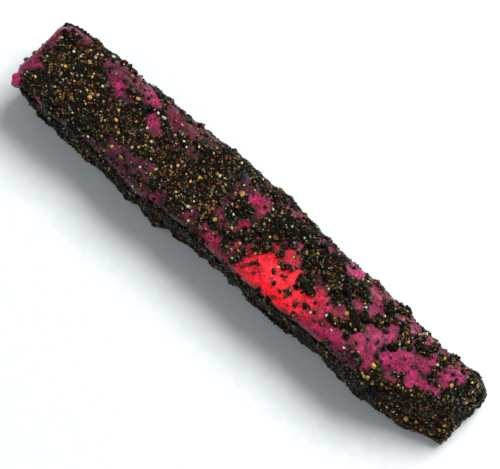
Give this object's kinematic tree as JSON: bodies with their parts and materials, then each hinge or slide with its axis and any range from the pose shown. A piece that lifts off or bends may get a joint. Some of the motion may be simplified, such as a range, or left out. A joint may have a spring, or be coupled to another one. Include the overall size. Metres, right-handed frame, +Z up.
{
  "type": "rough ruby",
  "caption": "Long four-sided bar of rough ruby, broken at both ends, magenta where it lies bare and crusted with dark sparkling grit; it rests on its worn flat underside.",
  "frame": {"origin": "under the middle of the stone's box, on the surface it rests on", "axes": "+X along the stone towards its right end, which is cut slantwise at the front; +Y towards its back; +Z up, out of its broad top"},
  "size_m": [0.129, 0.0252, 0.0183],
  "materials": {
    "ruby": "frosted, finely speckled",
    "dark_grit": "sparkling, coarse grit",
    "olive_grit": "sparkling, coarse grit",
    "gold_grit": "waxy grains"
  },
  "bodies": {
    "root": {"rough_ruby": "ruby"}
  },
  "joints": []
}
